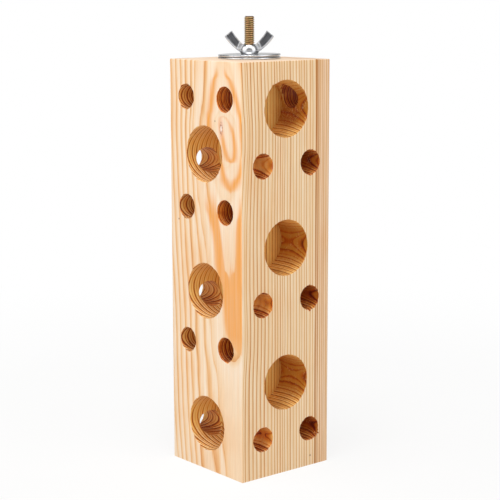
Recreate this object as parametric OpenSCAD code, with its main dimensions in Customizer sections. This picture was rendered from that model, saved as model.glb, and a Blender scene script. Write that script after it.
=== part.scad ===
// Bird perch: a drilled square post of softwood that hangs on a cage by a stud, two wide washers and a wing nut.
// Millimetres. +Z is up, the origin is the centre of the block's base.
// The front face looks along -Y and the right face along +X. The back and the left face repeat them.

/* [Block] */
// Side of the square wooden block
block_side = 69.5; // [66:0.5:84]
// Height of the wooden block
block_height = 254; // [250:1:300]
// Rounding of all the block's edges
edge_radius = 0.8; // [0.4:0.1:2]

/* [Treat holes] */
// Diameter of a flat-bottomed treat hole
treat_hole_d = 34.2; // [24:0.1:36]
// Depth of a treat hole
treat_hole_depth = 24.3; // [14:0.1:25]
// Height of the lowest treat hole on the front and back faces
front_treat_z = 30; // [20:0.5:36]
// Height of the lowest treat hole on the right and left faces
side_treat_z = 57.5; // [50:0.5:60]
// Rise from one treat or perch hole to the next on the same face
level_pitch = 84; // [76:0.5:85]
// Number of treat holes up each face
treat_levels = 3; // [1:1:3]

/* [Perch holes] */
// Diameter of a perch hole, which goes right through
perch_hole_d = 15.1; // [8:0.1:17]
// Distance between the two perch holes of a pair
pair_spacing = 37.4; // [30:0.1:42]
// How far each pair is drilled to the right of its face's middle
pair_shift = 0.4; // [0:0.1:2]
// Height of the lowest pair through the front face
front_pair_z = 80.4; // [74:0.1:86]
// Number of evenly spaced pairs through the front face
front_pair_levels = 2; // [1:1:2]
// Depth of the front face's top pair below the top of the block
top_pair_drop = 22.3; // [16:0.1:26]
// Height of the lowest pair through the right face
side_pair_z = 24.3; // [18:0.1:30]
// Number of pairs through the right face
side_pair_levels = 3; // [1:1:3]

/* [Hanger bolt] */
// Diameter over the machine thread's crests
stud_d = 6.3; // [5:0.05:8]
// Diameter at the machine thread's root
stud_root_d = 4.95; // [3.8:0.05:4.95]
// Pitch of the machine thread
stud_pitch = 1.27; // [1:0.01:1.5]
// Height of the bolt's tip above the top of the block
stud_rise = 25.6; // [20:0.1:40]
// Chamfer round the bolt's tip
tip_chamfer = 0.7; // [0.2:0.1:1]
// Diameter over the wood thread's crests
screw_d = 6.2; // [5.4:0.1:7]
// Diameter at the wood thread's root
screw_root_d = 4.4; // [3:0.1:4.8]
// Pitch of the wood thread
screw_pitch = 2.54; // [2:0.01:3]
// Length of the wood thread, without its point
screw_length = 20.4; // [14:0.1:24]
// Length of the wood thread's point
point_length = 3.6; // [2:0.1:5]
// Diameter of the plain shank between the two threads
shank_d = 5.5; // [4.8:0.1:6.2]
// Length of the plain shank, sunk below the top of the block
shank_length = 3.5; // [2:0.1:6]
// Clearance all round the plain shank in its hole
shank_play = 0.05; // [0.02:0.01:0.1]
// Space left in the pilot hole below the bolt's point
pilot_space = 1.5; // [0.5:0.1:4]

/* [Washers] */
// Outer diameter of each washer
washer_d = 38.1; // [30:0.1:45]
// Thickness of each washer
washer_t = 1.4; // [1:0.1:2.5]
// Chamfer on the washers' edges
washer_edge = 0.25; // [0.1:0.05:0.4]
// Clearance all round the bolt in each washer's hole
washer_play = 0.4; // [0.2:0.05:0.8]

/* [Wing nut] */
// Height of the nut's hub
hub_height = 5.9; // [5:0.1:8]
// Diameter of the hub's top
hub_top_d = 8.8; // [8.6:0.1:10]
// Largest diameter of the hub
hub_d = 12; // [11:0.1:13]
// Height of the hub's largest diameter above its seat
hub_belly_z = 1.8; // [1:0.1:2.4]
// Diameter of the hub's seat on the washer
hub_seat_d = 10; // [9:0.1:11]
// Clearance all round the bolt in the nut's hole
nut_play = 0.05; // [0.02:0.01:0.1]
// Countersink at each end of the nut's hole
bore_chamfer = 0.4; // [0.2:0.05:0.5]
// Distance of a wing's outer corner from the nut's axis
wing_reach = 14.7; // [13:0.1:18]
// Height of a wing's outer corner above the nut's seat
wing_corner_z = 10.7; // [9:0.1:13]
// Distance of a wing's upper corner from the nut's axis
wing_top_reach = 10.6; // [9:0.1:12]
// Height of a wing's upper corner above the nut's seat
wing_top_z = 13.7; // [13:0.1:17]
// Outward bulge of a wing's lower edge
wing_bulge = 0.9; // [0.3:0.1:1.6]
// Thickness of each wing
wing_t = 2.6; // [2:0.1:3.4]
// Depth of the sunk grip panel on each side of a wing
panel_depth = 0.4; // [0.2:0.05:0.6]
// Height of the grip ridges above the panel's floor
ridge_height = 0.25; // [0.1:0.05:0.4]
// Number of grip ridges across a panel
ridge_count = 6; // [3:1:9]
// Direction in plan in which the wings point at rest
nut_turn = 50.5; // [0:0.5:180]

/* [Hidden] */
$fn = 64;
overrun = 1;
half_side = block_side / 2;
front_turns = [0, 180];
side_turns = [90, 270];
pair_sides = [-1, 1];
lower_seat_z = block_height;
upper_seat_z = lower_seat_z + washer_t;
nut_seat_z = upper_seat_z + washer_t;
washer_bore_d = stud_d + 2 * washer_play;
nut_bore_d = stud_d + 2 * nut_play;
pilot_depth = shank_length + screw_length + point_length + pilot_space;
crest_share = 1 / 8;
root_share = 1 / 4;
wood_crest_share = 1 / 10;
wood_root_share = 1 / 2;
wing_root_z = hub_height - bore_chamfer;
wing_root_reach = hub_top_d / 2 - bore_chamfer;
wing_arc_steps = 12;
panel_root_share = 0.36;
panel_tip_share = 0.94;
panel_inner_share = 0.18;
panel_outer_share = 0.84;
ridge_share = 0.5;

// A cube with its base on z = 0, centred in plan, whose twelve edges are all rounded
module rounded_block() {
    intersection() {
        rounded_bar(block_side, block_side, block_height);
        translate([0, half_side, block_height / 2]) rotate([90, 0, 0])
            rounded_bar(block_side, block_height, block_side);
        translate([-half_side, 0, block_height / 2]) rotate([0, 90, 0])
            rounded_bar(block_height, block_side, block_side);
    }
}

// A bar that stands on z = 0 and has its four long edges rounded
module rounded_bar(width, depth, length) {
    linear_extrude(height = length) {
        square([width - 2 * edge_radius, depth], center = true);
        square([width, depth - 2 * edge_radius], center = true);
        for (side_x = pair_sides, side_y = pair_sides)
            translate([side_x * (width / 2 - edge_radius), side_y * (depth / 2 - edge_radius)])
                circle(r = edge_radius);
    }
}

// The treat holes of one face, drilled from the face that looks along -Y
module treat_holes(first_z) {
    for (level = [0 : treat_levels - 1])
        translate([0, -half_side - overrun, first_z + level * level_pitch]) rotate([-90, 0, 0])
            cylinder(d = treat_hole_d, h = treat_hole_depth + overrun);
}

// One pair of perch holes, drilled through from the face that looks along -Y
module perch_pair(height) {
    for (side = pair_sides)
        translate([pair_shift + side * pair_spacing / 2, -half_side - overrun, height]) rotate([-90, 0, 0])
            cylinder(d = perch_hole_d, h = block_side + 2 * overrun);
}

// The hole for the hanger bolt: a pilot that its wood thread cuts into, opened up for the plain shank
module bolt_hole() {
    translate([0, 0, block_height - pilot_depth])
        cylinder(d = screw_root_d, h = pilot_depth + overrun);
    translate([0, 0, block_height - shank_length])
        cylinder(d = shank_d + 2 * shank_play, h = shank_length + overrun);
}

// The drilled block of pale softwood
module wood_block() {
    color("burlywood") difference() {
        rounded_block();
        for (turn = front_turns) rotate(turn) treat_holes(front_treat_z);
        for (turn = side_turns) rotate(turn) treat_holes(side_treat_z);
        for (level = [0 : front_pair_levels - 1]) perch_pair(front_pair_z + level * level_pitch);
        perch_pair(block_height - top_pair_drop);
        rotate(side_turns[0])
            for (level = [0 : side_pair_levels - 1]) perch_pair(side_pair_z + level * level_pitch);
        bolt_hole();
    }
}

// Outline points of one thread ridge, from its lower root flat to its upper flank's foot
function ridge_points(base_z, pitch, root_r, crest_r, root_flat, crest_flat) =
    let (flank = (1 - root_flat - crest_flat) / 2)
    [[root_r, base_z],
     [root_r, base_z + pitch * root_flat],
     [crest_r, base_z + pitch * (root_flat + flank)],
     [crest_r, base_z + pitch * (root_flat + flank + crest_flat)]];

// Half section of a threaded rod that stands on z = 0, one ridge to each pitch
module thread_section(length, pitch, root_d, crest_d, root_flat, crest_flat) {
    ridges = floor(length / pitch);
    polygon(concat(
        [[0, 0]],
        [for (i = [0 : ridges - 1])
            for (p = ridge_points(i * pitch, pitch, root_d / 2, crest_d / 2, root_flat, crest_flat)) p],
        [[root_d / 2, ridges * pitch], [root_d / 2, length], [0, length]]));
}

// Half section that trims the machine thread to a chamfered tip
module tip_section(length) {
    polygon([
        [0, -overrun],
        [stud_d, -overrun],
        [stud_d, length - tip_chamfer],
        [stud_d / 2, length - tip_chamfer],
        [stud_d / 2 - tip_chamfer, length],
        [0, length]]);
}

// The double-ended bolt: machine thread above the block, plain shank, wood thread and point inside it
module hanger_bolt() {
    color("goldenrod") {
        translate([0, 0, block_height]) rotate_extrude()
            intersection() {
                thread_section(stud_rise, stud_pitch, stud_root_d, stud_d, root_share, crest_share);
                tip_section(stud_rise);
            }
        translate([0, 0, block_height - shank_length]) cylinder(d = shank_d, h = shank_length);
        translate([0, 0, block_height - shank_length - screw_length]) rotate_extrude()
            thread_section(screw_length, screw_pitch, screw_root_d, screw_d, wood_root_share, wood_crest_share);
        translate([0, 0, block_height - shank_length - screw_length - point_length])
            cylinder(d1 = 0, d2 = screw_root_d, h = point_length);
    }
}

// A flat ring with its four edges chamfered, standing on z = 0
module washer() {
    rotate_extrude()
        polygon([
            [washer_bore_d / 2 + washer_edge, 0],
            [washer_d / 2 - washer_edge, 0],
            [washer_d / 2, washer_edge],
            [washer_d / 2, washer_t - washer_edge],
            [washer_d / 2 - washer_edge, washer_t],
            [washer_bore_d / 2 + washer_edge, washer_t],
            [washer_bore_d / 2, washer_t - washer_edge],
            [washer_bore_d / 2, washer_edge]]);
}

// The washer that lies on the block
module lower_washer() {
    color("silver") translate([0, 0, lower_seat_z]) washer();
}

// The washer that the nut presses down, with the cage wires between it and the lower one
module upper_washer() {
    color("gainsboro") translate([0, 0, upper_seat_z]) washer();
}

// The round hub: a belly near the seat, drawn in to the top
module hub() {
    rotate_extrude()
        polygon([
            [0, 0],
            [hub_seat_d / 2, 0],
            [hub_d / 2, hub_belly_z],
            [hub_top_d / 2, hub_height],
            [0, hub_height]]);
}

// Corners of the wing in its own plane: x is the distance from the axis, y the height above the seat
wing_foot = [hub_seat_d / 2, hub_belly_z / 4];
wing_root = [wing_root_reach, wing_root_z];
wing_outer = [wing_reach, wing_corner_z];
wing_upper = [wing_top_reach, wing_top_z];

// A point on the wing's lower edge, bulged outwards, at a share of the way from its foot to its outer corner
function lower_edge(along) =
    let (chord = wing_outer - wing_foot, across = [chord[1], -chord[0]] / norm(chord))
    wing_foot + along * chord + 4 * along * (1 - along) * wing_bulge * across;

// A point on the wing, at a share along it from the hub and a share across it from the upper edge
function on_wing(along, over) =
    (1 - over) * (wing_root + along * (wing_upper - wing_root)) + over * lower_edge(along);

// Outline of one wing
module wing_outline() {
    polygon(concat(
        [[0, wing_root_z], wing_root, wing_upper],
        [for (i = [wing_arc_steps : -1 : 0]) lower_edge(i / wing_arc_steps)],
        [[0, hub_belly_z / 4]]));
}

// A four-sided patch of the wing between two shares along it
module wing_patch(from, to) {
    polygon([
        on_wing(from, panel_inner_share), on_wing(to, panel_inner_share),
        on_wing(to, panel_outer_share), on_wing(from, panel_outer_share)]);
}

// One wing: a plate with a sunk, ridged grip panel on each side
module wing() {
    ridge_step = (panel_tip_share - panel_root_share) / ridge_count;
    rotate([90, 0, 0]) difference() {
        linear_extrude(height = wing_t, center = true) wing_outline();
        for (side = pair_sides)
            translate([0, 0, side * wing_t / 2]) linear_extrude(height = 2 * panel_depth, center = true)
                wing_patch(panel_root_share, panel_tip_share);
    }
    rotate([90, 0, 0])
        for (i = [0 : ridge_count - 1])
            linear_extrude(height = wing_t - 2 * (panel_depth - ridge_height), center = true)
                wing_patch(
                    panel_root_share + ridge_step * (i + ridge_share / 2),
                    panel_root_share + ridge_step * (i + 1 - ridge_share / 2));
}

// The hole through the nut, countersunk at both ends
module nut_hole() {
    translate([0, 0, -overrun]) cylinder(d = nut_bore_d, h = hub_height + 2 * overrun);
    cylinder(d1 = nut_bore_d + 2 * bore_chamfer, d2 = nut_bore_d, h = bore_chamfer);
    translate([0, 0, hub_height - bore_chamfer])
        cylinder(d1 = nut_bore_d, d2 = nut_bore_d + 2 * bore_chamfer, h = bore_chamfer);
}

// The wing nut on its stud
module wing_nut() {
    color("lightgray") translate([0, 0, nut_seat_z]) rotate(nut_turn) difference() {
        union() {
            hub();
            wing();
            rotate(180) wing();
        }
        nut_hole();
    }
}

wood_block();
hanger_bolt();
lower_washer();
upper_washer();
wing_nut();
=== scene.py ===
import math
from functools import partialmethod

import bmesh
import bpy
from mathutils import Matrix, Vector, noise


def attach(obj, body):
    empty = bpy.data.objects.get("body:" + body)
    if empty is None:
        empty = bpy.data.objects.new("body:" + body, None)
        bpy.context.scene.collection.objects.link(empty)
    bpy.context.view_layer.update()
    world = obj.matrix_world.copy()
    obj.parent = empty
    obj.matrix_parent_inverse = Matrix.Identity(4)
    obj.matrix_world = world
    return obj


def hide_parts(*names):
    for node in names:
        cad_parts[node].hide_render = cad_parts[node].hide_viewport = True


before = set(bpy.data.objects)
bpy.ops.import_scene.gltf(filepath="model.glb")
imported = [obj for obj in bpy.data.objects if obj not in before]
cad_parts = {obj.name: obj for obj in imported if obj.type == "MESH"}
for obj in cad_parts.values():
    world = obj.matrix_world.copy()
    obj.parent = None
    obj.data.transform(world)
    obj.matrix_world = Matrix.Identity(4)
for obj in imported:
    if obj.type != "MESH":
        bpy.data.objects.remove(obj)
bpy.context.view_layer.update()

mm = 0.001  # sizes below are in millimetres, the scene is in metres
scene = bpy.context.scene


def tone(red, green, blue):
    # a colour picked in an image editor (0-255), as the linear colour that Blender wants
    def linear(value):
        value = value / 255
        return value / 12.92 if value <= 0.04045 else ((value + 0.055) / 1.055) ** 2.4
    return linear(red), linear(green), linear(blue), 1


def greys(*stops):
    # the stops of a grey ramp, from (place, brightness) pairs
    return [(place, (level, level, level, 1)) for place, level in stops]


def grain(x, y, z, scale=1.0, seed=0):
    # smooth noise between about -1 and 1
    return noise.noise(Vector((x * scale + seed * 17.3, y * scale - seed * 5.1, z * scale + seed * 9.7)))


def smoothBetween(low, high, value):
    share = min(max((value - low) / (high - low), 0), 1)
    return share * share * (3 - 2 * share)


def lineOf(bm, points):
    # an open line of edges through (radius, height) points, in the XZ plane
    verts = [bm.verts.new((x, 0, z)) for x, z in points]
    for first, second in zip(verts, verts[1:]):
        bm.edges.new((first, second))


def faceOutwards(bm):
    bmesh.ops.recalc_face_normals(bm, faces=bm.faces[:])


def turn(bm, points, steps):
    # a full turn round Z of a half section
    lineOf(bm, points)
    bmesh.ops.spin(bm, geom=bm.verts[:] + bm.edges[:], cent=(0, 0, 0), axis=(0, 0, 1),
                   dvec=(0, 0, 0), angle=math.tau, steps=steps, use_merge=True)
    bmesh.ops.remove_doubles(bm, verts=bm.verts[:], dist=1e-4)
    faceOutwards(bm)


def swing(bm, degrees, axis="Z"):
    matrix = Matrix.Rotation(math.radians(degrees), 3, axis)
    bmesh.ops.rotate(bm, cent=(0, 0, 0), matrix=matrix, verts=bm.verts[:])


def raiseBy(bm, height):
    bmesh.ops.translate(bm, vec=(0, 0, height), verts=bm.verts[:])


def roundEdges(bm, edges, offset, segments):
    bmesh.ops.bevel(bm, geom=edges, offset=offset, offset_type="OFFSET", segments=segments, profile=0.5,
                    affect="EDGES", material=-1, clamp_overlap=True)


def mend(mesh, merge):
    # a joined or cut mesh as a clean bmesh: its doubles merged and its faces outwards, distances in metres
    bm = bmesh.new()
    bm.from_mesh(mesh)
    bmesh.ops.remove_doubles(bm, verts=bm.verts[:], dist=merge)
    bmesh.ops.dissolve_degenerate(bm, edges=bm.edges[:], dist=1e-6)
    faceOutwards(bm)
    return bm


def grownVerts(grown):
    # the new vertices of an extrusion
    return [part for part in grown["geom"] if isinstance(part, bmesh.types.BMVert)]


def addObject(name, data):
    thing = bpy.data.objects.new(name, data)
    scene.collection.objects.link(thing)
    return thing


def addPiece(name, bm, sharpAngle=35):
    # writes a bmesh in millimetres to an object at the origin, in metres
    bmesh.ops.scale(bm, vec=(mm, mm, mm), verts=bm.verts[:])
    mesh = bpy.data.meshes.new(name)
    bm.to_mesh(mesh)
    bm.free()
    mesh.shade_smooth()
    mesh.set_sharp_from_angle(angle=math.radians(sharpAngle))
    return addObject(name, mesh)


def settle(piece):
    # applies the modifiers and keeps the result as the piece's own mesh
    seen = bpy.context.evaluated_depsgraph_get()
    settled = bpy.data.meshes.new_from_object(piece.evaluated_get(seen))
    piece.modifiers.clear()
    piece.data = settled
    return settled


def markFaces(mesh, name, values):
    mesh.attributes.new(name, "FLOAT", "FACE").data.foreach_set("value", values)


def triangles(mesh):
    return sum(len(face.vertices) - 2 for face in mesh.polygons)


class Sheet:
    # the node tree of a material, or of the world, with short calls for the nodes used here
    def __init__(self, owner, shader="ShaderNodeBsdfPrincipled", output="ShaderNodeOutputMaterial"):
        self.owner = owner
        owner.use_nodes = True
        self.tree = owner.node_tree
        self.tree.nodes.clear()
        self.shader = self.add(shader)
        self.tree.links.new(self.shader.outputs[0], self.add(output).inputs[0])

    def add(self, kind, **settings):
        node = self.tree.nodes.new(kind)
        for key, value in settings.items():
            setattr(node, key, value)
        return node

    def plug(self, value, socket):
        if hasattr(value, "is_linked"):
            self.tree.links.new(value, socket)
        else:
            socket.default_value = value

    def maths(self, operation, *values, clamp=False):
        node = self.add("ShaderNodeMath", operation=operation, use_clamp=clamp)
        for value, socket in zip(values, node.inputs):
            self.plug(value, socket)
        return node.outputs[0]

    plus = partialmethod(maths, "ADD")
    minus = partialmethod(maths, "SUBTRACT")
    times = partialmethod(maths, "MULTIPLY")
    over = partialmethod(maths, "DIVIDE")
    most = partialmethod(maths, "MAXIMUM")
    scaled = partialmethod(maths, "MULTIPLY_ADD")  # first * second + third

    def fading(self, value, reach):
        # 1 at 0, dying away over the reach
        return self.maths("EXPONENT", self.over(value, -reach))

    def bell(self, value):
        # 1 at 0, dying away to both sides
        return self.maths("EXPONENT", self.times(self.times(value, value), -1))

    def measure(self, operation, vector, other=(0, 0, 0)):
        # a number from two vectors, such as how far apart they are
        node = self.add("ShaderNodeVectorMath", operation=operation)
        self.plug(vector, node.inputs[0])
        node.inputs[1].default_value = other
        return node.outputs["Value"]

    def stretch(self, vector, scale, offset=(0, 0, 0)):
        node = self.add("ShaderNodeMapping")
        self.plug(vector, node.inputs["Vector"])
        node.inputs["Scale"].default_value = scale
        node.inputs["Location"].default_value = offset
        return node.outputs[0]

    def inMillimetres(self, offset=(0, 0, 0)):
        place = self.add("ShaderNodeTexCoord").outputs["Object"]
        return self.stretch(place, (1 / mm, 1 / mm, 1 / mm), offset)

    def split(self, vector):
        node = self.add("ShaderNodeSeparateXYZ")
        self.plug(vector, node.inputs[0])
        return node.outputs

    def marked(self, name):
        # a value that the faces carry
        return self.add("ShaderNodeAttribute", attribute_name=name).outputs["Fac"]

    def noise(self, vector, detail=2.0, roughness=0.5):
        node = self.add("ShaderNodeTexNoise")
        self.plug(vector, node.inputs["Vector"])
        for name, number in (("Scale", 1), ("Detail", detail), ("Roughness", roughness)):
            node.inputs[name].default_value = number
        return node.outputs["Fac"]

    def curve(self, value, points, handle="AUTO"):
        node = self.add("ShaderNodeFloatCurve")
        line = node.mapping.curves[0]
        line.points[0].location, line.points[1].location = points[0], points[-1]
        for x, y in points[1:-1]:
            line.points.new(x, y)
        for point in line.points:
            point.handle_type = handle
        node.mapping.update()
        self.plug(value, node.inputs["Value"])
        return node.outputs[0]

    def ramp(self, value, stops):
        node = self.add("ShaderNodeValToRGB")
        band = node.color_ramp
        band.elements[0].position, band.elements[0].color = stops[0]
        band.elements[1].position, band.elements[1].color = stops[-1]
        for place, colour in stops[1:-1]:
            band.elements.new(place).color = colour
        self.plug(value, node.inputs[0])
        return node.outputs[0]

    def window(self, value, low, high, fromValue=0.0, toValue=1.0):
        # a smooth step between two values
        node = self.add("ShaderNodeMapRange", interpolation_type="SMOOTHSTEP")
        self.plug(value, node.inputs["Value"])
        ends = {"From Min": low, "From Max": high, "To Min": fromValue, "To Max": toValue}
        for name, number in ends.items():
            node.inputs[name].default_value = number
        return node.outputs[0]

    def grey(self, level):
        node = self.add("ShaderNodeCombineColor")
        for socket in node.inputs:
            self.plug(level, socket)
        return node.outputs[0]

    def blend(self, share, first, second, how="MIX"):
        node = self.add("ShaderNodeMix", data_type="RGBA", blend_type=how)
        for value, name in ((share, "Factor_Float"), (first, "A_Color"), (second, "B_Color")):
            self.plug(value, next(s for s in node.inputs if s.identifier == name))
        return next(s for s in node.outputs if s.identifier == "Result_Color")

    def tinted(self, colour, tint, share=1.0):
        return self.blend(share, colour, tint, "MULTIPLY")

    def bump(self, height, strength, distance):
        node = self.add("ShaderNodeBump")
        node.inputs["Strength"].default_value = strength
        node.inputs["Distance"].default_value = distance
        self.plug(height, node.inputs["Height"])
        self.tree.links.new(node.outputs[0], self.shader.inputs["Normal"])

    def finish(self, colour, roughness, metallic=0.0, specular=0.5):
        self.plug(colour, self.shader.inputs["Base Color"])
        self.plug(roughness, self.shader.inputs["Roughness"])
        self.shader.inputs["Metallic"].default_value = metallic
        self.shader.inputs["Specular IOR Level"].default_value = specular
        return self.owner


# camera: 50 degrees round from the front, a little above the middle, long lens
photoCamera = {
    "place": (0.6884, -0.5667, 0.2936),  # metres
    "turn": 50.53, "down": 10.06, "roll": -0.13, "lens": 104.45, "sensor": 36,
}
camera = addObject("camera", bpy.data.cameras.new("camera"))
camera.matrix_world = (
    Matrix.Translation(photoCamera["place"])
    @ Matrix.Rotation(math.radians(photoCamera["turn"]), 4, "Z")
    @ Matrix.Rotation(math.radians(90 - photoCamera["down"]), 4, "X")
    @ Matrix.Rotation(math.radians(photoCamera["roll"]), 4, "Z"))
camera.data.lens = photoCamera["lens"]
camera.data.sensor_width = photoCamera["sensor"]
scene.camera = camera
scene.view_settings.view_transform = "Standard"

# the block of softwood, with everything that is drilled into it
block = {
    "side": 69.5, "height": 254, "edge": 0.55, "edgeSteps": 4, "inset": 0.02,
    "treat": {"radius": 17.1, "depth": 24.3, "steps": 96, "rings": 15, "through": False},
    "perch": {"radius": 7.55, "depth": 69.5, "steps": 60, "rings": 40, "through": True},
    "frontTreats": (30, 114, 198), "frontStray": (0.0, -0.4, -0.9), "sideTreats": (57.5, 141.5, 225.5),
    "frontPairs": (80.4, 164.4, 231.7), "sidePairs": (24.3, 108.3, 192.3), "pairHalf": 18.7, "pairShift": 0.4,
    "pilotRadius": 2.2, "pilotDepth": 29, "shankRadius": 2.8, "shankDepth": 3.5,
    "overrun": 1.5,  # how far the drills start outside a face
    "skin": 0.06,  # a face of the mesh that lies deeper than this is the wall of a hole
}
half = block["side"] / 2

# how much the drill polished and scorched each kind of hole, which also paints shade into the narrow perch
# holes:
# the front's pairs less and more by "apart", left and right, and the side's from their far end to their near
# one
shadedAndBurnished = {
    "frontTreats": 0.0, "sideTreats": 0.1, "frontPairs": 0.58, "apart": 0.25, "sidePairs": (0.4, 0.64),
}

# what the drill leaves: rough walls, a chewed mouth, and a floor with a rim groove and a centre dimple
drilling = {
    "rough": 0.03, "endGrain": 0.13, "feed": 0.035, "mouth": 0.18, "mouthRough": 0.24, "mouthDeep": 0.25,
    "wanders": (36, 47), "lip": (0.25, 0.7), "floorRough": 0.05,
    "floor": ((16.4, -0.02), (15.9, -0.25), (13.68, -0.28), (10.26, -0.22), (6.84, -0.28), (3.762, -0.25),
              (1.4, -0.25), (0.5, 0.9), (0, 1.0)),
}
# torn spots at the mouths: face turn, height, side of the pair, far mouth?, angle from the right in degrees,
# half width in degrees, depth, amount
tears = [
    (90, 24.3, 1, False, -38, 26, 3.2, 2.3), (90, 108.3, 1, False, -80, 30, 3.0, 0.9),
    (90, 192.3, 1, False, -95, 24, 2.4, 0.6), (90, 225.5, 0, False, 128, 7, 1.6, 1.2),
    (90, 57.5, 0, False, -48, 10, 1.4, 0.5), (0, 164.4, -1, False, -120, 30, 5.0, 0.5),
    (0, 198, 0, False, -20, 30, 20.0, 0.35), (0, 114, 0, False, -35, 16, 8.0, 0.4),
    (0, 80.4, 1, False, -70, 18, 1.6, 0.4), (0, 164.4, -1, True, -60, 40, 3.0, 1.3),
    (0, 80.4, 1, True, -110, 36, 2.5, 0.9),
]
# where the drill wandered, so that the hole ends a little oval: side of the pair, height -> how far, how high
ovals = {(-1, 192.3): (2.3, -0.2), (-1, 108.3): (1.5, -0.3), (-1, 24.3): (2.0, -0.3)}


def drill(kind, x, z, side, faceTurn):
    # the solid that one drill leaves empty: its mouth is at y = 0 and it goes in along +Y
    hole, marks, overrun = block[kind], drilling, block["overrun"]
    radius, depth, rings, through = hole["radius"], hole["depth"], hole["rings"], hole["through"]
    lip, inner = marks["lip"]
    stops = [-overrun, 0, lip, inner] + [inner + (depth - inner) * i / rings for i in range(1, rings)]
    stops += [depth - inner, depth - lip, depth, depth + overrun] if through else [depth - 0.3, depth]
    stops = sorted(set(round(stop, 3) for stop in stops))
    section = [(0, stops[0])] + [(radius, stop) for stop in stops]
    if through:
        section.append((0, stops[-1]))
    else:
        section += [(reach, depth + deeper) for reach, deeper in marks["floor"]]
    bm = bmesh.new()
    turn(bm, section, hole["steps"])
    seed = z * 0.37 + faceTurn
    wander, lift = ovals.get((side, z), (0, 0)) if faceTurn == 90 else (0, 0)
    ours = [tear[3:] for tear in tears if tear[0] == faceTurn and abs(tear[1] - z) < 0.1 and tear[2] == side]
    for vert in bm.verts:
        # lay the axis down: the bore's height becomes depth, 0 degrees points right and 90 up
        across, up, inwards = vert.co.x, vert.co.y, vert.co.z
        reach = math.hypot(across, up)
        if reach > radius - 0.01 and -0.01 < inwards < depth + (0.01 if through else -0.35):
            angle = math.degrees(math.atan2(up, across))
            rough = grain(across, up, inwards, 0.9, seed) + 0.6 * grain(across, up, inwards, 2.1, seed + 3)
            push = marks["rough"] * rough + marks["endGrain"] * abs(up / reach) ** 3 * max(rough, -0.3)
            push += marks["feed"] * grain(0, 0, inwards, 0.55, seed)
            mouth = min(inwards, depth - inwards if through else 99)
            chewed = marks["mouth"] + marks["mouthRough"] * max(rough, -0.6)
            push += chewed * math.exp(-max(mouth, 0) / marks["mouthDeep"])
            wandered = smoothBetween(*marks["wanders"], inwards)
            push += wandered * (wander * max(-across / reach, 0) ** 1.5 + lift * up / reach)
            for far, centre, spread, deep, amount in ours:
                off = abs((angle - centre + 180) % 360 - 180)
                fromMouth = depth - inwards if far else inwards
                fade = 1 - smoothBetween(spread * 0.5, spread, off)
                fade *= 1 - smoothBetween(deep * 0.3, deep, fromMouth)
                push += amount * fade * max(0.55 + 0.9 * rough, 0.05)
            across *= (reach + push) / reach
            up *= (reach + push) / reach
        elif reach < radius - 0.01 and inwards > 0 and not through:
            inwards -= marks["floorRough"] * (1 + grain(across, up, 0, 0.8, seed))
        vert.co = (x + across, -half + inwards, z + up)
    swing(bm, faceTurn)
    faceOutwards(bm)
    return addPiece(f"{kind}{faceTurn}_{z:.0f}_{side}", bm)


def boreMark(centre, normal):
    # for a face of the block: 1 if it is a drilled wall, and how much painted shade and drill polish it gets
    x, y, z = centre
    skin, treat, perch = block["skin"], block["treat"], block["perch"]
    flush = max(abs(x), abs(y)) > half - skin and abs(normal.z) < 0.01
    if flush or not skin <= z <= block["height"] - skin:
        return 0.0, 0.0
    for name, across, along in (("frontTreats", x, y), ("sideTreats", y, x)):
        for height in block[name]:
            near = math.hypot(across, z - height) < treat["radius"] + 1
            if near and abs(along) > half - treat["depth"] - 0.4:
                return 1.0, shadedAndBurnished[name]
    farEnd, nearEnd = shadedAndBurnished["sidePairs"]
    sideShine = farEnd + (nearEnd - farEnd) * smoothBetween(-10, 10, x)
    for name, across, shine, apart in (("frontPairs", x, shadedAndBurnished["frontPairs"], shadedAndBurnished["apart"]),
                                       ("sidePairs", y, sideShine, 0.0)):
        for height in block[name]:
            for side in (-1, 1):
                middle = block["pairShift"] + side * block["pairHalf"]
                if math.hypot(across - middle, z - height) < perch["radius"] + 3:
                    return 1.0, shine + apart * side
    return 0.0, 0.0


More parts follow.
